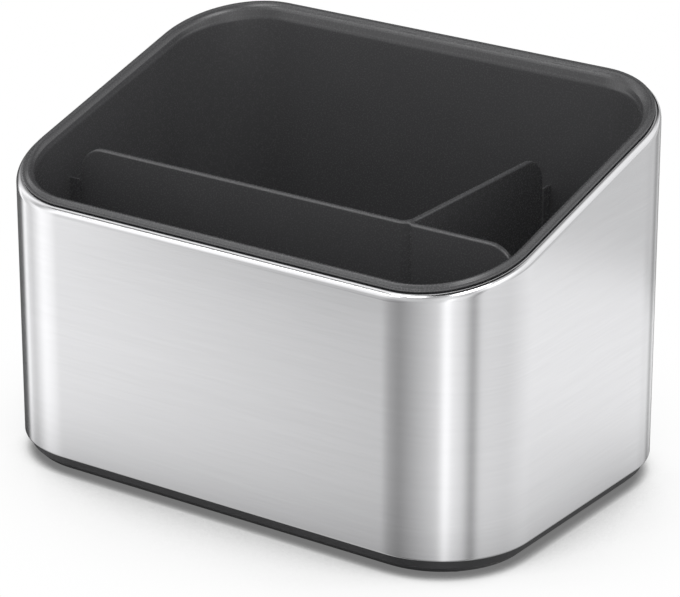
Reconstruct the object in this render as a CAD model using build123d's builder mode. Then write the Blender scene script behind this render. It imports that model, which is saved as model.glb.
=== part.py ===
"""Kitchen sink caddy: a steel sleeve on a moulded base, with a lift-out liner and a T-shaped divider.

Millimetres, +Z up, front towards -Y. The origin lies on the surface that the feet stand on,
under the middle of the sleeve.
"""
from build123d import *
from math import cos, radians, tan
import os

os.makedirs("parts", exist_ok=True)

# Sleeve: thin steel sheet formed to a rounded box, open above and below, with both edges rolled inwards
body_width = 180.0
body_depth = 122.8
corner_radius = 30.5
front_height = 80.1
slant = 15.0
sheet = 0.6
top_bend = 1.2
top_flange = 4.0
bottom_flange = 5.0

# Base: a moulded tray under the sleeve, which snaps through the opening in the sleeve's bottom flange
band_height = 5.2
band_inset = 2.2
band_bevel = 1.9
base_floor = 1.8
base_recess = 1.2
collar_gap = 0.3
collar_wall = 1.8
collar_rise = 3.2
hook_reach = 1.1
hook_width = 14.0
hook_gap = 0.15
hook_slit = 1.2
hook_share = 0.25

# Feet: four rubber studs, pushed into sockets in the base's underside
foot_radius = 4.0
foot_drop = 1.2
foot_stem = 1.4
foot_inset = 16.0
foot_gap = 0.1
foot_rim = 3.0

# Liner: a moulded tub that hangs by its rim on the sleeve's top flange
liner_wall = 2.2
liner_floor = 2.0
liner_gap = 0.5
liner_clearance = 0.8
cavity_floor_bevel = 2.4
land_overlap = 1.2
land_gap = 0.1
rim_rise = 2.6
rim_overhang = 0.9
rim_shadow_gap = 0.5
rim_outer_bevel = 0.25
rim_lead_in_share = 0.998

# Divider: one T-shaped moulding that stands on the liner's floor
divider_wall = 2.0
divider_height = 80.2
front_space = 30.7
side_space = 40.4
divider_top_corner = 8.0
divider_edge_share = 0.3
junction_round = 2.0
groove_radius = 1.5
groove_depth = 1.0
groove_lip_share = 0.45

# Guides on the liner: upright fins facing the divider's three ends, and low rails beside its foot
fin_height = 69.0
fin_reach = 2.9
fin_wall = 1.5
fin_gap = 1.0
fin_bevel_share = 0.3
rail_height = 4.0
rail_wall = 1.4
rail_gap = 0.3
rail_length = 26.0
long_rail_shares = (-0.62, 0.0)

# Drain slots through the liner's floor
slot_length = 16.0
slot_width = 3.0
slot_step = 30.0
slot_row_step = 16.0
front_slots = 4
back_slots = 3
back_slot_rows = 3

# One overrun serves all cuts
overrun = 5.0

# Heights and places that follow from the sizes above
sleeve_bottom = foot_drop + band_height
back_height = front_height + body_depth * tan(radians(slant))
liner_bottom = sleeve_bottom + collar_rise + liner_clearance
cavity_bottom = liner_bottom + liner_floor
liner_inset = top_flange + liner_gap
cavity_inset = liner_inset + liner_wall
land_inset = top_flange - land_overlap
rim_inset = land_inset - rim_overhang
cavity_half_width = body_width / 2 - cavity_inset
cavity_half_depth = body_depth / 2 - cavity_inset
divider_end_gap = fin_reach + fin_gap
divider_x = cavity_half_width - side_space - divider_wall / 2
divider_y = -cavity_half_depth + front_space + divider_wall / 2
collar_inset = bottom_flange + collar_gap
tray_bottom = foot_drop + base_recess + base_floor

slant_plane = Plane(
    origin=(0, -body_depth / 2, sleeve_bottom + front_height),
    x_dir=(1, 0, 0),
    z_dir=Vector(0, 0, 1).rotate(Axis.X, slant),
)
slant_axis = Axis(slant_plane.origin, slant_plane.z_dir)


def body_outline(inset):
    """The sleeve's plan, drawn in by an inset, in the sketch that is open."""
    return RectangleRounded(body_width - 2 * inset, body_depth - 2 * inset, corner_radius - inset)


def slanted_block(inset, low, cut):
    """A rounded box from a low height up to a slanted plane."""
    with BuildPart() as block:
        with BuildSketch(Plane.XY.offset(low)):
            body_outline(inset)
        extrude(amount=back_height + overrun)
        split(bisect_by=cut, keep=Keep.BOTTOM)
    return block.part


# The sleeve's form is rolled over along its slanted edge, and hollowed one sheet further in
with BuildPart() as sleeve:
    add(slanted_block(0, sleeve_bottom, slant_plane))
    top_face = sleeve.faces().filter_by(GeomType.PLANE).sort_by(slant_axis)[-1]
    fillet(top_face.edges(), radius=top_bend)
    add(slanted_block(sheet, sleeve_bottom + sheet, slant_plane.offset(-sheet)), mode=Mode.SUBTRACT)
    # Openings inside the two rolled edges
    with BuildSketch(Plane.XY.offset(sleeve_bottom + front_height / 2)):
        body_outline(top_flange)
    extrude(amount=back_height, mode=Mode.SUBTRACT)
    with BuildSketch(Plane.XY.offset(sleeve_bottom + front_height / 2)):
        body_outline(bottom_flange)
    extrude(amount=-front_height, mode=Mode.SUBTRACT)

# Each hook stands on the collar's outer face and reaches over the sleeve's bottom flange
hook_bottom = sleeve_bottom + sheet + hook_gap
hook_height = sleeve_bottom + collar_rise - hook_bottom

with BuildPart() as hook:
    with BuildSketch(Plane.YZ):
        with BuildLine():
            Polyline((0, 0), (hook_reach, 0), (0, hook_height), close=True)
        make_face()
    extrude(amount=hook_width / 2, both=True)

hook_x = body_width * hook_share
side_x = body_width / 2 - collar_inset
side_y = body_depth / 2 - collar_inset
hook_places = [
    Location((hook_x, side_y, hook_bottom)),
    Location((-hook_x, side_y, hook_bottom)),
    Location((-side_x, 0, hook_bottom), (0, 0, 90)),
    Location((-hook_x, -side_y, hook_bottom), (0, 0, 180)),
    Location((hook_x, -side_y, hook_bottom), (0, 0, 180)),
    Location((side_x, 0, hook_bottom), (0, 0, 270)),
]

foot_x = body_width / 2 - foot_inset
foot_y = body_depth / 2 - foot_inset
foot_places = {
    "foot_front_left": (-foot_x, -foot_y),
    "foot_front_right": (foot_x, -foot_y),
    "foot_back_left": (-foot_x, foot_y),
    "foot_back_right": (foot_x, foot_y),
}

with BuildPart() as base:
    # The band that shows under the sleeve is set in, and bevelled below
    with BuildSketch(Plane.XY.offset(foot_drop)):
        body_outline(band_inset)
    extrude(amount=band_height)
    chamfer(base.faces().sort_by(Axis.Z)[0].edges(), length=band_bevel)
    # The collar rises through the sleeve's bottom opening
    with BuildSketch(Plane.XY.offset(sleeve_bottom)):
        body_outline(collar_inset)
    extrude(amount=collar_rise)
    for place in hook_places:
        add(hook.part.moved(place))
    # The drip tray is sunk inside the collar
    with BuildSketch(Plane.XY.offset(tray_bottom)):
        body_outline(collar_inset + collar_wall)
    extrude(amount=band_height + collar_rise, mode=Mode.SUBTRACT)
    # A slit each side of a hook lets its piece of the collar bend
    slit_step = (hook_width + hook_slit) / 2
    for place in hook_places:
        with Locations(place):
            with Locations((-slit_step, 0, 0), (slit_step, 0, 0)):
                Box(
                    hook_slit,
                    2 * (collar_wall + hook_reach),
                    collar_rise + overrun,
                    align=(Align.CENTER, Align.CENTER, Align.MIN),
                    mode=Mode.SUBTRACT,
                )
    # Underneath, the floor is raised within a ring that holds the feet's sockets
    with BuildSketch(Plane.XY.offset(foot_drop)):
        body_outline(foot_inset + foot_radius + foot_gap + foot_rim)
    extrude(amount=base_recess, mode=Mode.SUBTRACT)
    with BuildSketch(Plane.XY.offset(foot_drop)):
        with Locations(*foot_places.values()):
            Circle(foot_radius + foot_gap)
    extrude(amount=foot_stem, mode=Mode.SUBTRACT)

with BuildPart() as foot:
    with BuildSketch():
        Circle(foot_radius)
    extrude(amount=foot_drop + foot_stem)

# A fin points along +X from a wall, with its root sunk half a wall deep
with BuildPart() as fin:
    with BuildSketch() as fin_plan:
        Rectangle(fin_reach + liner_wall / 2, fin_wall, align=(Align.MIN, Align.CENTER))
        chamfer(fin_plan.vertices().group_by(Axis.X)[-1], length=fin_wall * fin_bevel_share)
    extrude(amount=fin_height)
    chamfer(fin.faces().sort_by(Axis.Z)[-1].edges(), length=fin_wall * fin_bevel_share)

fin_x = cavity_half_width + liner_wall / 2
fin_y = cavity_half_depth + liner_wall / 2
fin_places = [
    Location((-fin_x, divider_y, cavity_bottom)),
    Location((fin_x, divider_y, cavity_bottom), (0, 0, 180)),
    Location((divider_x, fin_y, cavity_bottom), (0, 0, 270)),
]

# The liner's outer form: a tub, the rim that overhangs it, and the land that rests on the flange
rim_top = slant_plane.offset(rim_rise)

with BuildPart() as rim:
    add(slanted_block(rim_inset, liner_bottom, rim_top))
    outer_face = rim.faces().filter_by(GeomType.PLANE).sort_by(slant_axis)[-1]
    chamfer(outer_face.edges(), length=rim_outer_bevel)
    split(bisect_by=slant_plane.offset(rim_shadow_gap), keep=Keep.TOP)

with BuildPart() as land:
    add(slanted_block(land_inset, liner_bottom, slant_plane.offset(rim_rise / 2)))
    split(bisect_by=slant_plane.offset(land_gap), keep=Keep.TOP)

with BuildPart() as cavity:
    with BuildSketch(Plane.XY.offset(cavity_bottom)):
        body_outline(cavity_inset)
    extrude(amount=back_height + overrun)
    chamfer(cavity.faces().sort_by(Axis.Z)[0].edges(), length=cavity_floor_bevel)

# The lead-in fills the rim's slanted face, which is narrowest for it where the slant leaves an acute edge
rim_face_width = (cavity_inset - rim_inset) / cos(radians(slant))
edge_half_tan = tan(radians((90 - slant) / 2))
rim_lead_in = rim_lead_in_share * edge_half_tan * (rim_face_width - rim_outer_bevel)

# Rails stand in pairs, one each side of the divider's foot
rail_offset = (divider_wall + rail_wall) / 2 + rail_gap
short_rail_y = (divider_y + cavity_half_depth) / 2
left_space = cavity_half_width + divider_x
back_space = cavity_half_depth - divider_y

with BuildPart() as liner:
    add(slanted_block(liner_inset, liner_bottom, rim_top))
    add(rim.part)
    add(land.part)
    add(cavity.part, mode=Mode.SUBTRACT)
    # The broad lead-in round the inside of the rim
    rim_face = liner.faces().filter_by(GeomType.PLANE).sort_by(slant_axis)[-1]
    fillet(rim_face.inner_wires()[0].edges(), radius=rim_lead_in)
    for place in fin_places:
        add(fin.part.moved(place))
    for share in long_rail_shares:
        with Locations((share * cavity_half_width, divider_y, cavity_bottom)):
            with Locations((0, -rail_offset, 0), (0, rail_offset, 0)):
                Box(rail_length, rail_wall, rail_height, align=(Align.CENTER, Align.CENTER, Align.MIN))
    with Locations((divider_x, short_rail_y, cavity_bottom)):
        with Locations((-rail_offset, 0, 0), (rail_offset, 0, 0)):
            Box(rail_wall, rail_length, rail_height, align=(Align.CENTER, Align.CENTER, Align.MIN))
    # Drain slots in each compartment's floor
    with BuildSketch(Plane.XY.offset(liner_bottom)):
        with Locations((0, divider_y - (front_space + divider_wall) / 2)):
            with GridLocations(slot_step, slot_row_step, front_slots, 1):
                Rectangle(slot_length, slot_width)
        with Locations((divider_x - left_space / 2, divider_y + back_space / 2)):
            with GridLocations(slot_step, slot_row_step, back_slots, back_slot_rows):
                Rectangle(slot_length, slot_width)
        with Locations((cavity_half_width - side_space / 2, divider_y + back_space / 2)):
            with GridLocations(slot_step, slot_row_step, 1, back_slot_rows):
                Rectangle(slot_length, slot_width)
    extrude(amount=liner_floor, mode=Mode.SUBTRACT)

# The divider's two walls are drawn from the side, with their rounded corners, and joined to a T
long_length = 2 * (cavity_half_width - divider_end_gap)
short_length = cavity_half_depth - divider_end_gap - divider_y
divider_middle = cavity_bottom + divider_height / 2

with BuildPart() as divider:
    with BuildSketch(Plane.XZ.offset(-divider_y - divider_wall / 2)) as long_side:
        with Locations((0, divider_middle)):
            Rectangle(long_length, divider_height)
        fillet(long_side.vertices().group_by(Axis.Y)[-1], radius=divider_top_corner)
    extrude(amount=divider_wall)
    with BuildSketch(Plane.YZ.offset(divider_x - divider_wall / 2)) as short_side:
        with Locations((divider_y, divider_middle)):
            Rectangle(short_length, divider_height, align=(Align.MIN, Align.CENTER))
        top_back = short_side.vertices().group_by(Axis.Y)[-1].sort_by(Axis.X)[-1]
        fillet(top_back, radius=divider_top_corner)
    extrude(amount=divider_wall)
    # Behind, the two walls run into each other; in front, a groove keeps the moulding's wall even
    junction = Vector(divider_x, divider_y + divider_wall / 2, divider_middle)
    fillet(divider.edges().filter_by(Axis.Z).sort_by_distance(junction)[:2], radius=junction_round)
    groove_y = divider_y - divider_wall / 2 + groove_depth - groove_radius
    with BuildSketch(Plane.XY.offset(cavity_bottom)):
        with Locations((divider_x, groove_y)):
            Circle(groove_radius)
    extrude(amount=divider_height, mode=Mode.SUBTRACT)
    groove = Vector(divider_x, divider_y - divider_wall / 2, divider_middle)
    groove_lips = divider.edges().filter_by(Axis.Z).sort_by_distance(groove)[:2]
    fillet(groove_lips, radius=divider_wall * groove_lip_share)
    chamfer(divider.faces().sort_by(Axis.Z)[-1].edges(), length=divider_wall * divider_edge_share)

pieces = {"sleeve": sleeve, "base": base, "liner": liner, "divider": divider}
for name, piece in pieces.items():
    piece.part.label = name
    export_step(piece.part, f"parts/{name}.step")

for name, (x, y) in foot_places.items():
    stud = foot.part.moved(Location((x, y, 0)))
    stud.label = name
    export_step(stud, f"parts/{name}.step")
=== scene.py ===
"""Kitchen sink caddy: base and feet, brushed steel sleeve, lift-out liner and lift-out divider.

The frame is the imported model's: front towards -Y, +Z up, standing on the floor at zero. Sizes are
written in millimetres and turned into metres where a mesh is made.
"""
import math

import bmesh
import bpy
import numpy as np
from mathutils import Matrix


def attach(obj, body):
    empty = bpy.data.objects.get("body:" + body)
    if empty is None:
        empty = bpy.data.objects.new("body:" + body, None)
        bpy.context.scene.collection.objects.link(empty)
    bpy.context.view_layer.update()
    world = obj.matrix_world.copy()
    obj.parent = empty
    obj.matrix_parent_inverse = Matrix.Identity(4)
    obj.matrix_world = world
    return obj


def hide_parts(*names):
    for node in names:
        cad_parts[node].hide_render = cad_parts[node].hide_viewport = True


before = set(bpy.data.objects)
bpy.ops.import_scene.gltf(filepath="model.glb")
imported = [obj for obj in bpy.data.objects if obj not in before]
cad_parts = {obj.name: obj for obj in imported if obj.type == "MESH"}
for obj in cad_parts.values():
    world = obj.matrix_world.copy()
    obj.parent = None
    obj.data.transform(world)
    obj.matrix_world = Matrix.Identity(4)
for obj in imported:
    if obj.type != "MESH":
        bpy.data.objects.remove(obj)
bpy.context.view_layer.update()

# The camera stands where the photograph was taken from: 35 degrees to the right of the front
# and 21.5 degrees above the caddy, with a long lens a metre away. Depth of field stays off.
camera_data = bpy.data.cameras.new("camera")
camera_data.lens = 184.71
camera_data.sensor_width = 36.0
camera = bpy.data.objects.new("camera", camera_data)
camera.location = (0.570105, -0.813243, 0.444085)
camera.rotation_euler = (math.radians(90 - 21.536), 0, math.radians(34.943))
bpy.context.collection.objects.link(camera)
bpy.context.scene.camera = camera
bpy.context.scene.view_settings.view_transform = "Standard"


# The studio: three rings of soft upright panels one above the other, light and dark, three round soft
# boxes and a dark bar, which are what the steel shows. The camera sees plain white behind the floor.
def node(tree, kind, settings=None, **inputs):
    """One shader node with its settings; an input is a value, or an output socket to link."""
    made = tree.nodes.new(kind)
    for name, value in (settings or {}).items():
        setattr(made, name, value)
    for name, value in inputs.items():
        key = int(name[1:]) if name[0] == "i" and name[1:].isdigit() else name.replace("_", " ")
        if isinstance(value, bpy.types.NodeSocket):
            tree.links.new(value, made.inputs[key])
        else:
            made.inputs[key].default_value = value
    return made


def ramp(tree, factor, stops):
    """A straight ramp from a factor to greys, through stops of place and brightness."""
    made = tree.nodes.new("ShaderNodeValToRGB")
    points = made.color_ramp.elements
    while len(points) < len(stops):
        points.new(0.5)
    for point, (position, grey) in zip(points, stops):
        point.position = position
    for point, (position, grey) in zip(points, stops):
        point.color = (grey, grey, grey, 1)
    tree.links.new(factor, made.inputs["Fac"])
    return made.outputs["Color"]


# Azimuth in degrees, seen from above with 0 in front and 90 to the right, and brightness. The lower
# ring has a narrow bright panel at the left and a broad light one that fades towards the front, then a
# bright one with a dark gap beside it and light ones from the right to the back. Right behind are a
# dark gap and a bright panel, and the back left is nearly dark.
low_panels = [(-180, 0.35), (-168, 1.1), (-160, 0.15), (-105, 0.1), (-96, 1.4), (-90, 0.85), (-80, 0.7),
              (-60, 1.2), (-40, 1.0), (-34, 0.55), (-26, 0.4), (-14, 0.3), (15, 0.6), (30, 0.75),
              (38, 1.35), (45, 0.95), (57, 0.8), (67, 0.3), (76, 0.8), (110, 0.75), (150, 0.95),
              (160, 0.85), (170, 0.95), (180, 0.35)]
middle_panels = [(-180, 0), (-150, 0), (-120, 0.1), (-90, 1.2), (-64, 0.4), (-42, 1.3), (-24, 0.6),
                 (12, 0.6), (32, 0.9), (55, 0.5), (80, 1.5), (115, 0.95), (150, 0.95), (180, 0)]
high_panels = [(-180, 0.15), (-120, 0.9), (-60, 1.0), (0, 0.4), (60, 0.5), (95, 0.5), (120, 0.1),
               (180, 0.15)]
overhead = [(-180, 0), (180, 0)]
# Each ring goes over into the next between two heights, counted as half of one plus a ray's Z
rings = [(low_panels, 0, 0), (middle_panels, 0.56, 0.66), (high_panels, 0.82, 0.88),
         (overhead, 0.955, 0.975)]
# Two soft boxes up in front and a weak one behind: azimuth, elevation, half angle and brightness; each
# fades out over its edge
soft_boxes = [(-40, 55, 12, 4.7), (50, 55, 12, 3.4), (140, 55, 12, 0.5)]
edge_inside, edge_outside = 1, 3
# The dark bar crosses the front left between the lower panels and the boxes above them: its share at
# the same heights and at azimuths, and its grey
bar_heights = [(0.853, 0.0), (0.867, 1.0), (0.911, 1.0), (0.925, 0.0)]
bar_azimuths = [(-88, 0.0), (-74, 1.0), (-25, 1.0), (-5, 0.0)]
bar_grey = (0.05, 0.05, 0.05, 1)

world = bpy.data.worlds.new("studio")
bpy.context.scene.world = world
world.use_nodes = True
tree = world.node_tree
tree.nodes.clear()
ray = node(tree, "ShaderNodeTexCoord")
split = node(tree, "ShaderNodeSeparateXYZ", i0=ray.outputs["Generated"])
away = node(tree, "ShaderNodeMath", {"operation": "MULTIPLY"}, i0=split.outputs["Y"], i1=-1.0)
turn = node(tree, "ShaderNodeMath", {"operation": "ARCTAN2"}, i0=split.outputs["X"], i1=away.outputs[0])
place = node(tree, "ShaderNodeMath", {"operation": "MULTIPLY_ADD"}, i0=turn.outputs[0],
             i1=0.5 / math.pi, i2=0.5)
half_up = node(tree, "ShaderNodeMath", {"operation": "MULTIPLY_ADD"}, i0=split.outputs["Z"], i1=0.5, i2=0.5)
sky = None
for panels, start, stop in rings:
    ring_of = ramp(tree, place.outputs[0], [((azimuth + 180) / 360, grey) for azimuth, grey in panels])
    if sky is None:
        sky = ring_of
    else:
        above = ramp(tree, half_up.outputs[0], [(start, 0.0), (stop, 1.0)])
        mixed = node(tree, "ShaderNodeMix", {"data_type": "RGBA"}, Factor=above, A=sky, B=ring_of)
        sky = mixed.outputs["Result"]
for azimuth, elevation, half_angle, brightness in soft_boxes:
    level = math.cos(math.radians(elevation))
    towards = (level * math.sin(math.radians(azimuth)), -level * math.cos(math.radians(azimuth)),
               math.sin(math.radians(elevation)))
    facing = node(tree, "ShaderNodeVectorMath", {"operation": "DOT_PRODUCT"}, i0=ray.outputs["Generated"],
                  i1=towards)
    disc = ramp(tree, facing.outputs["Value"], [(math.cos(math.radians(half_angle + edge_outside)), 0.0),
                                                (math.cos(math.radians(half_angle - edge_inside)), 1.0)])
    glow = node(tree, "ShaderNodeVectorMath", {"operation": "SCALE"}, i0=disc, Scale=brightness)
    added = node(tree, "ShaderNodeVectorMath", {"operation": "ADD"}, i0=sky, i1=glow.outputs[0])
    sky = added.outputs[0]
bar_high = ramp(tree, half_up.outputs[0], bar_heights)
bar_wide = ramp(tree, place.outputs[0], [((azimuth + 180) / 360, share) for azimuth, share in bar_azimuths])
bar = node(tree, "ShaderNodeMath", {"operation": "MULTIPLY"}, i0=bar_high, i1=bar_wide)
barred = node(tree, "ShaderNodeMix", {"data_type": "RGBA"}, Factor=bar.outputs[0], A=sky, B=bar_grey)
lit = node(tree, "ShaderNodeBackground", Color=barred.outputs["Result"], Strength=1.0)
plain = node(tree, "ShaderNodeBackground", Color=(1, 1, 1, 1), Strength=1.0)
path = node(tree, "ShaderNodeLightPath")
both = node(tree, "ShaderNodeMixShader", i0=path.outputs["Is Camera Ray"], i1=lit.outputs[0],
            i2=plain.outputs[0])
node(tree, "ShaderNodeOutputWorld", Surface=both.outputs[0])

# The floor is a white sheet. The camera sees it glowing white with a painted shadow ramped from
# ambient occlusion: a grey band close under the caddy and a faint shade further out, ending in plain
# white. Glossy rays pass it to reach the panels, with a painted shadow darkening them near the caddy
# and a painted darkening far out in front and behind.
half = 3
floor_mesh = bpy.data.meshes.new("floor")
floor_mesh.from_pydata([(-half, -half, 0), (half, -half, 0), (half, half, 0), (-half, half, 0)], [],
                       [(0, 1, 2, 3)])
floor = bpy.data.objects.new("floor", floor_mesh)
bpy.context.collection.objects.link(floor)

# What the camera sees, a painted shadow: the share of the sky that is open, and the grey
seen_shades = [(0.0, 0.175), (0.345, 0.185), (0.48, 0.54), (0.60, 0.905), (0.70, 0.975), (0.82, 1.0),
               (1.0, 1.0)]
open_distance = 0.15
# What glossy rays keep, a painted shadow in the steel's reflections: distance from the caddy's side, as a
# share of the shadow's width, and grey
mirrored_shades = [(0.0, 0.34), (0.05, 0.50), (0.10, 0.63), (0.15, 0.71), (0.20, 0.76), (0.29, 0.83),
                   (0.40, 0.90), (0.52, 0.95), (0.70, 0.985), (0.94, 1.0)]
shadow_width = 0.1
# The caddy's plan is all that lies within its corners' radius of a core rectangle; metres
core_half = (0.0595, 0.0309, 0)
side_reach = 0.0305
white = bpy.data.materials.new("floor_white")
white.use_nodes = True
tree = white.node_tree
tree.nodes.clear()
path = node(tree, "ShaderNodeLightPath")
matt = node(tree, "ShaderNodeBsdfDiffuse", Color=(0.8, 0.8, 0.8, 1))
open_share = node(tree, "ShaderNodeAmbientOcclusion", {"samples": 16}, Distance=open_distance)
# Painted shadow: the floor's glow is greyed by how much of the sky is open, not by the lamps
shade = ramp(tree, open_share.outputs["AO"], seen_shades)
glow_with_painted_shadow = node(tree, "ShaderNodeEmission", Color=shade, Strength=1.0)
sheet_white = node(tree, "ShaderNodeMixShader", i0=path.outputs["Is Camera Ray"], i1=matt.outputs[0],
                   i2=glow_with_painted_shadow.outputs[0])
spot = node(tree, "ShaderNodeTexCoord").outputs["Object"]
sized = node(tree, "ShaderNodeVectorMath", {"operation": "ABSOLUTE"}, i0=spot)
out = node(tree, "ShaderNodeVectorMath", {"operation": "SUBTRACT"}, i0=sized.outputs[0], i1=core_half)
out = node(tree, "ShaderNodeVectorMath", {"operation": "MAXIMUM"}, i0=out.outputs[0], i1=(0, 0, 0))
away = node(tree, "ShaderNodeVectorMath", {"operation": "LENGTH"}, i0=out.outputs[0])
gap = node(tree, "ShaderNodeMapRange", Value=away.outputs["Value"], From_Min=side_reach,
           From_Max=side_reach + shadow_width)
# Painted shadow for glossy rays: darker by distance from the caddy's plan, not by its light
shadow = ramp(tree, gap.outputs[0], mirrored_shades)
# For glossy rays the sheet is dimmer, a painted darkening of the reflections, from 200 mm in front,
# along a stretch left of the middle, and from 170 mm behind
lie = node(tree, "ShaderNodeSeparateXYZ", i0=spot)
in_front = node(tree, "ShaderNodeMapRange", Value=lie.outputs["Y"], From_Min=-0.24, From_Max=-0.20,
                To_Min=0.78, To_Max=1.0)
aside = node(tree, "ShaderNodeMath", {"operation": "ADD"}, i0=lie.outputs["X"], i1=0.12)
aside = node(tree, "ShaderNodeMath", {"operation": "ABSOLUTE"}, i0=aside.outputs[0])
beside = node(tree, "ShaderNodeMapRange", Value=aside.outputs[0], From_Min=0.02, From_Max=0.065)
in_front = node(tree, "ShaderNodeMath", {"operation": "MAXIMUM"}, i0=in_front.outputs[0],
                i1=beside.outputs[0])
behind = node(tree, "ShaderNodeMapRange", Value=lie.outputs["Y"], From_Min=0.17, From_Max=0.21, To_Min=1.0,
              To_Max=0.67)
painted_dimming = node(tree, "ShaderNodeMath", {"operation": "MULTIPLY"}, i0=in_front.outputs[0],
              i1=behind.outputs[0])
mirrored = node(tree, "ShaderNodeVectorMath", {"operation": "SCALE"}, i0=shadow, Scale=painted_dimming.outputs[0])
clear = node(tree, "ShaderNodeBsdfTransparent", Color=mirrored.outputs[0])
sheet = node(tree, "ShaderNodeMixShader", i0=path.outputs["Is Glossy Ray"], i1=sheet_white.outputs[0],
             i2=clear.outputs[0])
node(tree, "ShaderNodeOutputMaterial", Surface=sheet.outputs[0])
floor_mesh.materials.append(white)


# Base: a shallow tray moulded in dark satin plastic, which carries the sleeve and catches drips.
# Its band shows as the dark line under the steel. It snaps into the sleeve's bottom opening.
def grained(name, colour, roughness, grain_size, grain_depth, mottle=0.1):
    """A moulded surface: a base colour mottled a little, lighter on rounded edges where `edge` says so,
    which is a painted highlight, and a fine grain in the gloss and the bump, all placed by the piece's own
    coordinates.
    Grain size and depth are in metres."""
    edge_highlight_lighter, gloss_swing = 0.18, 0.04
    made = bpy.data.materials.new(name)
    made.use_nodes = True
    tree = made.node_tree
    shader = tree.nodes["Principled BSDF"]
    spot = node(tree, "ShaderNodeTexCoord").outputs["Object"]
    cloud = node(tree, "ShaderNodeTexNoise", Vector=spot, Scale=45.0, Detail=4.0, Roughness=0.6)
    fine = node(tree, "ShaderNodeTexNoise", Vector=spot, Scale=1.0 / grain_size, Detail=2.0)
    on_edge = node(tree, "ShaderNodeAttribute", {"attribute_name": "edge"})
    light = node(tree, "ShaderNodeMath", {"operation": "MULTIPLY_ADD"}, i0=cloud.outputs["Fac"],
                 i1=2 * mottle, i2=1 - mottle)
    # Painted highlight: points on rounded edges, where `edge` says so, are made lighter
    edge_highlight = node(tree, "ShaderNodeMath", {"operation": "MULTIPLY_ADD"}, i0=on_edge.outputs["Fac"],
                i1=edge_highlight_lighter, i2=light.outputs[0])
    tint = node(tree, "ShaderNodeVectorMath", {"operation": "SCALE"}, i0=colour, Scale=edge_highlight.outputs[0])
    tree.links.new(tint.outputs[0], shader.inputs["Base Color"])
    shader.inputs["Specular IOR Level"].default_value = 0.7
    matt = node(tree, "ShaderNodeMapRange", Value=fine.outputs["Fac"], From_Min=0.3, From_Max=0.7,
                To_Min=roughness - gloss_swing, To_Max=roughness + gloss_swing)
    tree.links.new(matt.outputs[0], shader.inputs["Roughness"])
    bump = node(tree, "ShaderNodeBump", Strength=0.15, Distance=grain_depth, Height=fine.outputs["Fac"])
    tree.links.new(bump.outputs[0], shader.inputs["Normal"])
    return made


base_plastic = grained("base_plastic", (0.03, 0.03, 0.032), roughness=0.4, grain_size=0.0006,
                       grain_depth=0.00003)
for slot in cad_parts["base"].material_slots:
    slot.material = base_plastic


# Feet: four soft rubber studs pushed into sockets under the base, one near each corner. The edge that
# stands on the worktop is rounded, and the middle of the sole is dished so that the stud grips.
def sweep(ring, inset, height):
    """A profile carried round a closed ring. A ring is core points, unit normals and a reach: its point
    at inset d is core + (reach - d) * normal. Row i is the ring, column j the profile's step."""
    core, normal, reach = ring
    plan = core[:, None, :] + (reach - np.asarray(inset))[None, :, None] * normal[:, None, :]
    rise = np.broadcast_to(height, plan.shape[:2])
    return np.concatenate([plan, rise[:, :, None]], axis=2)


def rows_of(shape, close_ring=True, close_profile=False):
    """The quads between neighbouring rows and columns of a grid of points, wound to face outwards
    where rows run anticlockwise and columns run up the outside."""
    rows, columns = shape[:2]
    index = np.arange(rows * columns).reshape(rows, columns)
    if close_ring:
        index = np.vstack([index, index[:1]])
    if close_profile:
        index = np.hstack([index, index[:, :1]])
    return np.stack([index[:-1, :-1], index[1:, :-1], index[1:, 1:], index[:-1, 1:]], axis=2).reshape(-1, 4)


def rounded(corners, radii, steps=6):
    """A profile through corner points, each turned by an arc of its radius. The arc leaves the lines at
    radius * tan(turn / 2) from the corner, and a close step before and after it keeps the flats flat.
    With the profile comes how much each of its points lies on an edge."""
    close_step = 0.04
    corners = np.asarray(corners, float)
    path, bend = [corners[0]], [0.0]
    for before, corner, after, radius in zip(corners[:-2], corners[1:-1], corners[2:], radii):
        u = (before - corner) / np.linalg.norm(before - corner)
        v = (after - corner) / np.linalg.norm(after - corner)
        half = math.acos(np.clip(u @ v, -1, 1)) / 2
        reach = radius / math.tan(half)
        middle = corner + (u + v) / np.linalg.norm(u + v) * radius / math.sin(half)
        start, stop = corner + u * reach - middle, corner + v * reach - middle
        sweep_angle = math.pi - 2 * half
        t = np.linspace(0, 1, steps + 1)[:, None]
        arc = np.sin((1 - t) * sweep_angle) * start + np.sin(t * sweep_angle) * stop
        arc /= math.sin(sweep_angle)
        path += [corner + u * (reach + close_step), *(middle + arc), corner + v * (reach + close_step)]
        bend += [0.3, *[1.0] * (steps + 1), 0.3]
    return np.array(path + [corners[-1]]), np.array(bend + [0.0])


def piece(name, points, faces, material, body, stands_for, edge):
    """A piece from points in millimetres and its faces, merged where points meet and shaded smooth.
    `edge` says how much each point lies on a rounded edge, where moulded pieces get a painted highlight."""
    same_point, sharp_from = 0.000002, math.radians(38)
    mesh = bpy.data.meshes.new(name)
    mesh.from_pydata((np.asarray(points) / 1000).tolist(), [], faces)
    mark = mesh.attributes.new("edge", "FLOAT", "POINT")
    mark.data.foreach_set("value", np.asarray(edge, float))
    shell = bmesh.new()
    shell.from_mesh(mesh)
    bmesh.ops.remove_doubles(shell, verts=shell.verts, dist=same_point)
    shell.to_mesh(mesh)
    shell.free()
    mesh.shade_smooth()
    mesh.set_sharp_from_angle(angle=sharp_from)
    mesh.materials.append(material)
    made = bpy.data.objects.new(name, mesh)
    bpy.context.collection.objects.link(made)
    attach(made, body)
    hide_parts(stands_for)


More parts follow.
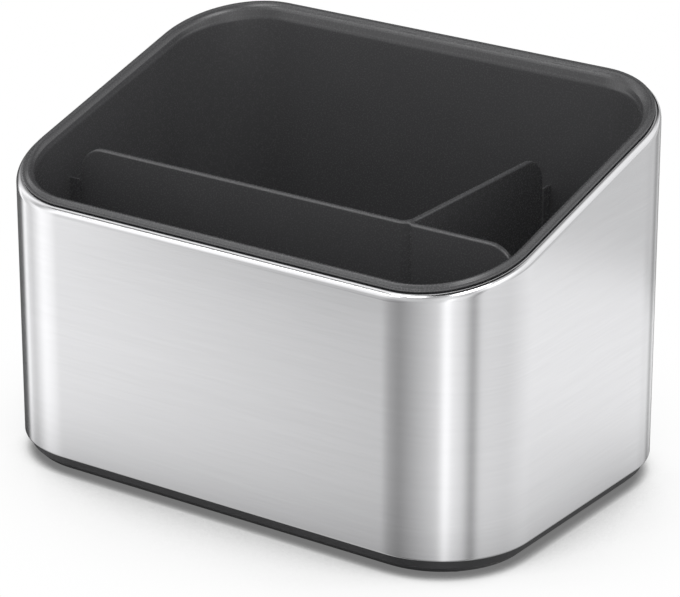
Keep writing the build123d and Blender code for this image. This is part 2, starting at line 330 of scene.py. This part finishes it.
foot_radius = 4.0
foot_height = 2.6
foot_sides = 48
foot_places = {"front_left": (-74.0, -45.4), "front_right": (74.0, -45.4),
               "back_left": (-74.0, 45.4), "back_right": (74.0, 45.4)}
foot_rubber = grained("foot_rubber", (0.03, 0.03, 0.031), roughness=0.72, grain_size=0.0004,
                      grain_depth=0.00004, mottle=0.2)
turns = np.linspace(0, 2 * np.pi, foot_sides, endpoint=False)
spokes = np.stack([np.cos(turns), np.sin(turns)], axis=1)
# From the dished sole's middle out to its edge, up the side and back in; the second list is the radii
dish_depth, dish_inset, standing_inset = 0.3, 1.5, 1.1
sole, sole_bend = rounded([(foot_radius, dish_depth), (dish_inset, dish_depth), (standing_inset, 0.0),
                           (0.0, 0.0), (0.0, foot_height), (foot_radius, foot_height)],
                          [0.3, 0.3, 0.5, 0.2], steps=4)
for corner, (x, y) in foot_places.items():
    grid = sweep((np.tile((x, y), (foot_sides, 1)), spokes, foot_radius), sole[:, 0], sole[:, 1])
    piece("stud_" + corner, grid.reshape(-1, 3), rows_of(grid.shape).tolist(), foot_rubber, "shell",
          "foot_" + corner, np.tile(sole_bend, foot_sides))


# Sleeve: thin stainless sheet bent to a rounded box and brushed round and round. The top edge slants
# up to the back and is rolled inwards to a narrow flange; the bottom edge is turned in the same way,
# sits on the base's shoulder and comes a little down in front of the base's band.
body_width = 180.0
body_depth = 122.8
corner_radius = 30.5
sleeve_bottom = 6.4
front_height = 80.1
slant = math.radians(15)
sheet = 0.6
roll = 1.6
rise_front, rise_back = 0.35, 1.41
top_flange = 4.0
bottom_flange = 5.0
lip_inset = 2.1
lip_drop = 0.4
cut_edge = 0.12


def outline(xs, ys, front_turns, back_turns):
    """The body's plan as a ring, anticlockwise from the front left. Straight runs have core points
    through the given places along X and Y; corners turn about one core point each, through the given
    angles, which count from the sides' normals."""
    x, y = body_width / 2 - corner_radius, body_depth / 2 - corner_radius
    runs = [(xs, -y, -90), (x, -y, -front_turns[::-1]), (x, ys, 0), (x, y, back_turns), (xs[::-1], y, 90),
            (-x, y, 180 - back_turns[::-1]), (-x, ys[::-1], 180), (-x, -y, 180 + front_turns)]
    ring = np.concatenate([np.stack(np.broadcast_arrays(*run), axis=1) for run in runs])
    angle = np.radians(ring[:, 2])
    return ring[:, :2], np.stack([np.cos(angle), np.sin(angle)], axis=1), corner_radius


def heights(ring, profile, on_slant):
    """Each profile step's height on each ring point. Steps on the slant count squarely from the
    slanted plane, which rises backwards by tan(slant) from the front height; others from the floor."""
    core, normal, reach = ring
    y = core[:, 1:] + (reach - profile[:, 0]) * normal[:, 1:]
    plane = sleeve_bottom + front_height + (y + body_depth / 2) * math.tan(slant)
    return np.where(on_slant, plane + profile[:, 1] / math.cos(slant), profile[:, 1])


def tilt(y):
    """How far the rolled edge and the rim on it stand above the slanted plane: a little, and more
    towards the back, in a straight line."""
    return rise_front + (rise_back - rise_front) * (y / body_depth + 0.5)


def brushed(name, colour, roughness):
    """Steel brushed round the body: two noises drawn out along X and Y and fine along Z streak the
    colour, roughness and bump. Highlights spread a little more up and down than sideways. Where
    `edge` says so, the bend is smoother."""
    gloss_swing, bend_smoother = 0.01, 0.04
    made = bpy.data.materials.new(name)
    made.use_nodes = True
    tree = made.node_tree
    shader = tree.nodes["Principled BSDF"]
    shader.inputs["Metallic"].default_value = 1.0
    shader.inputs["Anisotropic"].default_value = 0.3
    shader.inputs["Anisotropic Rotation"].default_value = 0.25
    spot = node(tree, "ShaderNodeTexCoord").outputs["Object"]
    hair = node(tree, "ShaderNodeMapping", Vector=spot, Scale=(55.0, 55.0, 1900.0))
    band = node(tree, "ShaderNodeMapping", Vector=spot, Scale=(9.0, 9.0, 330.0))
    fine = node(tree, "ShaderNodeTexNoise", Vector=hair.outputs[0], Scale=1.0, Detail=4.0, Roughness=0.65)
    broad = node(tree, "ShaderNodeTexNoise", Vector=band.outputs[0], Scale=1.0, Detail=3.0)
    streak = node(tree, "ShaderNodeMix", {"data_type": "FLOAT"}, Factor=0.35, A=fine.outputs["Fac"],
                  B=broad.outputs["Fac"])
    bright = node(tree, "ShaderNodeMapRange", Value=streak.outputs[0], From_Min=0.3, From_Max=0.7,
                  To_Min=0.965, To_Max=1.03)
    tint = node(tree, "ShaderNodeVectorMath", {"operation": "SCALE"}, i0=colour, Scale=bright.outputs[0])
    tree.links.new(tint.outputs[0], shader.inputs["Base Color"])
    on_edge = node(tree, "ShaderNodeAttribute", {"attribute_name": "edge"})
    matt = node(tree, "ShaderNodeMapRange", Value=streak.outputs[0], From_Min=0.3, From_Max=0.7,
                To_Min=roughness - gloss_swing, To_Max=roughness + gloss_swing)
    smooth = node(tree, "ShaderNodeMath", {"operation": "MULTIPLY_ADD"}, i0=on_edge.outputs["Fac"],
                  i1=-bend_smoother, i2=matt.outputs[0])
    tree.links.new(smooth.outputs[0], shader.inputs["Roughness"])
    around = node(tree, "ShaderNodeTangent", {"direction_type": "RADIAL", "axis": "Z"})
    tree.links.new(around.outputs[0], shader.inputs["Tangent"])
    bump = node(tree, "ShaderNodeBump", Strength=0.05, Distance=0.00002, Height=fine.outputs["Fac"])
    tree.links.new(bump.outputs[0], shader.inputs["Normal"])
    return made


sleeve_steel = brushed("sleeve_steel", (0.86, 0.86, 0.875), roughness=0.2)
half_x, half_y = body_width / 2 - corner_radius, body_depth / 2 - corner_radius
# Rows stand close together where the sides run into the corners, so that the flats stay flat
sleeve_xs = np.concatenate([[-half_x, 1 - half_x], np.linspace(4 - half_x, half_x - 4, 15),
                            [half_x - 1, half_x]])
sleeve_ys = np.concatenate([[-half_y, 1 - half_y], np.linspace(4 - half_y, half_y - 4, 9),
                            [half_y - 1, half_y]])
turn_steps = np.linspace(0, 90, 41)[1:-1]
sleeve_ring = outline(sleeve_xs, sleeve_ys, turn_steps, turn_steps)
# Up over the roll, in along the flange and back
turn = np.linspace(math.pi / 2, 0, 14)
arc = roll * np.stack([1 - np.sin(turn), np.cos(turn) - 1], axis=1)
back, back_bend = rounded([(top_flange - 1, 0), (top_flange, 0), (top_flange, -sheet), (sheet, -sheet),
                           (sheet, -4)], [cut_edge, cut_edge, 1.0])
top = np.concatenate([[(0, -4), (0, -roll - 0.04)], arc, [(roll + 0.04, 0)], back])
# How much of the tilt each step takes: none on the wall, more over the roll, all of it on the flange
raised = np.clip((top[:, 1] + roll) / roll, 0, 1)
raised[len(arc) + 2:] = top[len(arc) + 2:, 1] > -1
top_bend = np.concatenate([[0, 0.3], np.ones(len(arc)), [0.3], 0 * back_bend])
foot_edge, foot_bend = rounded([(sheet, sleeve_bottom + 3), (sheet, sleeve_bottom + sheet),
                                (bottom_flange, sleeve_bottom + sheet), (bottom_flange, sleeve_bottom),
                                (lip_inset, sleeve_bottom), (lip_inset - lip_drop, sleeve_bottom - lip_drop),
                                (0, sleeve_bottom - lip_drop), (0, sleeve_bottom + 3)],
                               [0.4, cut_edge, cut_edge, 0.2, 0.2, 0.8])
profile = np.concatenate([top, foot_edge])
on_slant = np.repeat([True, False], [len(top), len(foot_edge)])
grid = sweep(sleeve_ring, profile[:, 0], heights(sleeve_ring, profile, on_slant))
grid[:, :, 2] += np.append(raised, np.zeros(len(foot_edge))) * tilt(grid[:, :, 1])
piece("steel_sleeve", grid.reshape(-1, 3), rows_of(grid.shape, close_profile=True).tolist(), sleeve_steel,
      "shell", "sleeve", np.tile(np.concatenate([top_bend, foot_bend]), len(grid)))


# Liner: one tub moulded in dark matt plastic, which hangs in the sleeve by its rim and lifts out.
# The rim has a flat ledge outside and a raised crown that leads broadly into the tub; fins stand on
# three walls, rails on the floor hold the divider's foot, and slots drain each compartment.
liner_bottom = 10.4
floor_top = 12.4
liner_inset = 4.5
cavity_inset = 5.9
land_inset = 2.8
rim_inset = 1.9
rim_low = 0.4
ledge_top = 1.15
ledge_drop = 0.45
ledge_reach = 2.8
crown_inset = 3.4
crown_top = 1.5
lead_in = 3.1
floor_round = 2.4
divider_x = 41.9
divider_y = -23.0
slot_half = np.array([8.0, 1.5])
slot_centres = np.array([(x, -39.35) for x in (-45, -15, 15, 45)]
                        + [(x, y) for x in (-50.7, -20.7, 9.3, 63.1) for y in (-0.15, 15.85, 31.85)])
liner_plastic = grained("liner_plastic", (0.083, 0.083, 0.086), roughness=0.26, grain_size=0.0005,
                        grain_depth=0.00002)

# The floor is a grid whose lines pass through every slot's edges; its outline is the tub's, drawn in
# by the rounding at the walls' foot. Beyond the straight sides, columns are squeezed into the round
# corners: x = half_x + (x - half_x) * cos(turn), where sin(turn) is how far the row is round the corner.
floor_reach = corner_radius - cavity_inset - floor_round
slot_xs = np.unique(slot_centres[:, 0, None] + slot_half[0] * np.array([-1, 1]))
slot_ys = np.unique(slot_centres[:, 1, None] + slot_half[1] * np.array([-1, 1]))
outer_xs = slot_xs[slot_xs > half_x]
xs = np.unique(np.concatenate([np.linspace(-half_x, half_x, 9), slot_xs[slot_xs <= half_x]]))
ys = np.unique(np.concatenate([np.linspace(-half_y, half_y, 5), slot_ys[np.abs(slot_ys) <= half_y]]))
steps = np.linspace(0, 90, 25)[1:-1]
asin_of = np.degrees(np.arcsin((np.abs(slot_ys[np.abs(slot_ys) > half_y]) - half_y) / floor_reach))
front_turns = np.unique(np.concatenate([steps, asin_of[slot_ys[np.abs(slot_ys) > half_y] < 0]]))
back_turns = np.unique(np.concatenate([steps, asin_of[slot_ys[np.abs(slot_ys) > half_y] > 0]]))
liner_ring = outline(xs, ys, front_turns, back_turns)

columns = np.concatenate([[-half_x - floor_reach, -half_x - floor_reach / 2], xs, outer_xs,
                          [half_x + floor_reach]])
rows = np.concatenate([-half_y - floor_reach * np.sin(np.radians(np.append(front_turns, 90)))[::-1], ys,
                       half_y + floor_reach * np.sin(np.radians(np.append(back_turns, 90)))])
past = np.clip((np.abs(rows) - half_y) / floor_reach, 0, 1)
squeeze = np.sqrt(1 - past ** 2)[:, None]
beyond = np.clip(np.abs(columns) - half_x, 0, None)
floor_x = np.sign(columns) * (np.minimum(np.abs(columns), half_x) + beyond * squeeze)
floor_y = np.broadcast_to(rows[:, None], floor_x.shape)
middle_x = (columns[:-1] + columns[1:]) / 2
middle_y = (rows[:-1] + rows[1:]) / 2
in_slot = np.any((np.abs(middle_x[None, None, :] - slot_centres[:, 0, None, None]) < slot_half[0])
                 & (np.abs(middle_y[None, :, None] - slot_centres[:, 1, None, None]) < slot_half[1]), axis=0)

# The tub's profile runs from under the floor, up the outside, over the rim and down the inside. On
# the rim, places are insets from the body's side and heights over the slanted plane.
under, under_bend = rounded([(cavity_inset + floor_round, liner_bottom), (liner_inset, liner_bottom),
                             (liner_inset, liner_bottom + 4)], [1.0])
rim, rim_bend = rounded([(liner_inset, -4), (liner_inset, 0.1), (land_inset, 0.1), (land_inset, rim_low),
                         (rim_inset, rim_low), (rim_inset, ledge_top), (ledge_reach, ledge_top),
                         (crown_inset, crown_top), (crown_inset + 0.3, crown_top)],
                        [0.15, 0.1, 0.08, 0.15, 0.2, 0.3, 0.8], steps=8)
# The lead-in is a quarter ellipse: inset = crown + a * sin(t), height = top - b * (1 - cos(t))
lead = np.radians(np.linspace(6, 90, 22))
lead = np.stack([crown_inset + (cavity_inset - crown_inset) * np.sin(lead),
                 crown_top - lead_in * (1 - np.cos(lead))], axis=1)
# Towards the front the ledge lies lower under the crown: each step's share of the ledge's drop
lowered = np.interp(rim[:-1, 1], [rim_low, ledge_top, crown_top], [0, 1, 0]) * (rim[:-1, 0] < crown_inset)
rim = np.concatenate([rim[:-1], lead, [(cavity_inset, crown_top - lead_in - 0.1), (cavity_inset, -8)]])
rim_bend = np.concatenate([rim_bend[:-1], np.zeros(len(rim) - len(rim_bend) + 1)])
inner, inner_bend = rounded([(cavity_inset, floor_top + 6), (cavity_inset, floor_top),
                             (cavity_inset + floor_round, floor_top)], [floor_round - 0.05])
profile = np.concatenate([under, rim, inner])
# The rim's rounded edges above 0.8 mm get the painted highlight in the plastic's colour
bend = np.concatenate([0 * under_bend, rim_bend * (rim[:, 1] > 0.8), 0 * inner_bend])
on_slant = np.repeat([False, True, False], [len(under), len(rim), len(inner)])
on_rim = np.concatenate([0 * under_bend, rim[:, 1] > 0, 0 * inner_bend])
lowered = np.concatenate([0 * under_bend, lowered, np.zeros(len(rim) - len(lowered) + len(inner))])
tub = sweep(liner_ring, profile[:, 0], heights(liner_ring, profile, on_slant))
tub[:, :, 2] += on_rim * tilt(tub[:, :, 1]) - lowered * ledge_drop * (0.5 - tub[:, :, 1] / body_depth)
tub_points = tub.reshape(-1, 3)
upper = np.stack([floor_x, floor_y, np.full(floor_x.shape, floor_top)], axis=2).reshape(-1, 3)
lower = upper * (1, 1, 0) + (0, 0, liner_bottom)
start, count = len(tub_points), len(upper)
cells = np.arange(count).reshape(floor_x.shape)
squares = np.stack([cells[:-1, :-1], cells[:-1, 1:], cells[1:, 1:], cells[1:, :-1]], axis=2)[~in_slot]
# A slot has a wall wherever an open cell meets a solid one
padded = np.pad(in_slot, 1)
turn_x = padded[1:-1, 1:].astype(int) - padded[1:-1, :-1]
turn_y = padded[1:, 1:-1].astype(int) - padded[:-1, 1:-1]
side_x = np.stack([cells[:-1], cells[1:]], axis=2)
side_y = np.stack([cells[:, :-1], cells[:, 1:]], axis=2)
edges = np.concatenate([side_x[turn_x > 0], side_x[turn_x < 0][:, ::-1], side_y[turn_y > 0][:, ::-1],
                        side_y[turn_y < 0]])
slot_walls = np.stack([edges[:, 0], edges[:, 0] + count, edges[:, 1] + count, edges[:, 1]], axis=1)
faces = np.concatenate([rows_of(tub.shape), start + squares, start + count + squares[:, ::-1],
                        start + slot_walls])
piece("tub_and_rim", np.concatenate([tub_points, upper, lower]), faces.tolist(), liner_plastic,
      "liner_body", "liner",
      np.concatenate([np.tile(bend, len(tub)), np.zeros(2 * count)]))


def post(name, centre, half, high, corner, edge):
    """A standing bar let a little into the liner's floor: a rounded rectangle carried up, whose top edge
    is a quarter circle of the edge's radius; the top and the foot are closed by one flat face each."""
    low = floor_top - 0.5
    turns = np.radians(np.linspace(0, 90, 7))
    angle = np.concatenate([turns + quarter * math.pi / 2 for quarter in range(4)])
    signs = np.repeat([(1, 1), (-1, 1), (-1, -1), (1, -1)], len(turns), axis=0)
    core = np.asarray(centre) + signs * (np.asarray(half) - corner)
    side, side_bend = rounded([(0, low), (0, high), (corner, high)], [edge])
    bar = sweep((core, np.stack([np.cos(angle), np.sin(angle)], axis=1), corner), side[:, 0], side[:, 1])
    cell = np.arange(bar.shape[0] * bar.shape[1]).reshape(bar.shape[:2])
    caps = [cell[:, -1].tolist(), cell[::-1, 0].tolist()]
    piece(name, bar.reshape(-1, 3), rows_of(bar.shape).tolist() + caps, liner_plastic, "liner_body", "liner",
          np.tile(side_bend, len(bar)))


# A fin stands partly in the wall behind it; a pair of rounds is the plan's corners and the top edge
fin_top = 81.4
fin_half = (2.2, 0.35)
fin_reach = 3.7
fin_rounds = (0.3, 0.25)
cavity_x, cavity_y = body_width / 2 - cavity_inset, body_depth / 2 - cavity_inset
fin_out = fin_half[0] - fin_reach
post("fin_left", (-cavity_x - fin_out, divider_y), fin_half, fin_top, *fin_rounds)
post("fin_right", (cavity_x + fin_out, divider_y), fin_half, fin_top, *fin_rounds)
post("fin_back", (divider_x, cavity_y + fin_out), fin_half[::-1], fin_top, *fin_rounds)
rail_half = (13.0, 0.7)
rail_offset = 2.0
rail_top = floor_top + 4.0
rail_rounds = (0.5, 0.4)
left_rail_x, middle_rail_x, short_rail_y = -51.65, 0.0, 15.85
for offset, side, short_side in ((-rail_offset, "front", "left"), (rail_offset, "back", "right")):
    post("rail_left_" + side, (left_rail_x, divider_y + offset), rail_half, rail_top, *rail_rounds)
    post("rail_middle_" + side, (middle_rail_x, divider_y + offset), rail_half, rail_top, *rail_rounds)
    post("rail_short_" + short_side, (divider_x + offset, short_rail_y), rail_half[::-1], rail_top,
         *rail_rounds)


# Divider: one T-shaped moulding that stands on the liner's floor between its rails. A long wall parts
# front from back and a short wall runs to the back; upper corners are rounded and edges eased. Behind,
# the walls run into each other in a round, and in front a groove keeps the moulding's wall even.
wall_half = 1.0
divider_top = 92.9
divider_corner = 8.8
edge_round = 0.7
long_end = 79.4
short_end = 50.2
groove_depth = 1.0
groove_half = 2.3
junction_round = 2.0
divider_plastic = grained("divider_plastic", (0.083, 0.083, 0.086), roughness=0.26, grain_size=0.0005,
                          grain_depth=0.00002)


def plate(run, ahead, behind, both_ends):
    """A standing plate in its own axes (u along, w across, z up): its outline from the side runs up an
    end, round the corner, along the top and down again, and over it a section is carried from the
    front face, round both edges, to the back face. The faces lie at w = -ahead and w = behind. Below
    the corners' height the faces are strips between the section's ends and the foot."""
    low_core, high_core = floor_top, divider_top - divider_corner
    bends = np.linspace(90, 0, 13)[1:]
    legs = [(run, high_core, 90), (run[-1], high_core, bends), (run[-1], low_core, 0)]
    if both_ends:
        legs = [(run[0], low_core, 180), (run[0], high_core, 180 - bends[::-1])] + legs
    path = np.concatenate([np.stack(np.broadcast_arrays(*np.atleast_1d(*leg)), axis=1) for leg in legs])
    near = (len(bends) + 1) * both_ends
    front, back = (np.full(len(path), wall_half) for face in range(2))
    front[near:near + len(run)], back[near:near + len(run)] = ahead, behind
    turn = np.radians(np.linspace(0, 90, 7))
    drop = np.concatenate([[divider_corner, edge_round + 0.05], edge_round * (1 - np.sin(turn))])
    ease = np.concatenate([[0, 0], edge_round * (1 - np.cos(turn))])
    reach = divider_corner - np.concatenate([drop, drop[::-1]])
    angle = np.radians(path[:, 2:])
    u, z = path[:, :1] + reach * np.cos(angle), path[:, 1:2] + reach * np.sin(angle)
    w = np.concatenate([ease - front[:, None], (back[:, None] - ease)[:, ::-1]], axis=1)
    shell = np.stack([u, w, z], axis=2)
    feet = [np.stack(np.broadcast_arrays(run, face, low_core), axis=1) for face in (-ahead, behind)]
    cell = np.arange(shell.shape[0] * shell.shape[1]).reshape(shell.shape[:2])
    fore = cell.size + np.arange(len(run))
    aft = fore + len(run)
    crest = cell[near:near + len(run)]
    faces = rows_of(shell.shape, close_ring=False).tolist()
    faces += np.stack([fore[:-1], fore[1:], crest[1:, 0], crest[:-1, 0]], axis=1).tolist()
    faces += np.stack([aft[1:], aft[:-1], crest[:-1, -1], crest[1:, -1]], axis=1).tolist()
    if both_ends:
        faces += [[*cell[0].tolist(), *aft[1:-1].tolist(), *cell[-1, ::-1].tolist(),
                   *fore[1:-1][::-1].tolist()]]
    else:
        faces += [[*cell[0].tolist(), int(aft[0]), int(fore[0])],
                  [*aft[:-1].tolist(), *cell[-1, ::-1].tolist(), *fore[:-1][::-1].tolist()]]
    eased = np.concatenate([ease, ease[::-1]]) > 0
    edge_highlight = np.concatenate([np.tile(eased, len(shell)), np.zeros(2 * len(run))])
    return np.concatenate([shell.reshape(-1, 3), *feet]), faces, edge_highlight


run = np.unique(np.concatenate([np.linspace(divider_corner - long_end, long_end - divider_corner, 13),
                                divider_x + np.linspace(-3.2, 3.2, 65)]))
off = np.abs(run - divider_x)
groove = groove_depth * (0.5 + 0.5 * np.cos(np.pi * np.clip(off / groove_half, 0, 1)))
into = np.clip(wall_half + junction_round - off, 0, junction_round)
bulge = junction_round - np.sqrt(junction_round ** 2 - into ** 2)
points, faces, edge_highlight = plate(run, wall_half - groove, wall_half + bulge, True)
piece("divider_long_wall", points + (0, divider_y, 0), faces, divider_plastic, "divider_body", "divider",
      edge_highlight)
run = np.linspace(divider_y + wall_half + junction_round - edge_round, short_end - divider_corner, 9)
points, faces, edge_highlight = plate(run, np.full(9, wall_half), np.full(9, wall_half), False)
points = np.stack([divider_x - points[:, 1], points[:, 0], points[:, 2]], axis=1)
piece("divider_short_wall", points, faces, divider_plastic, "divider_body", "divider",
      edge_highlight)
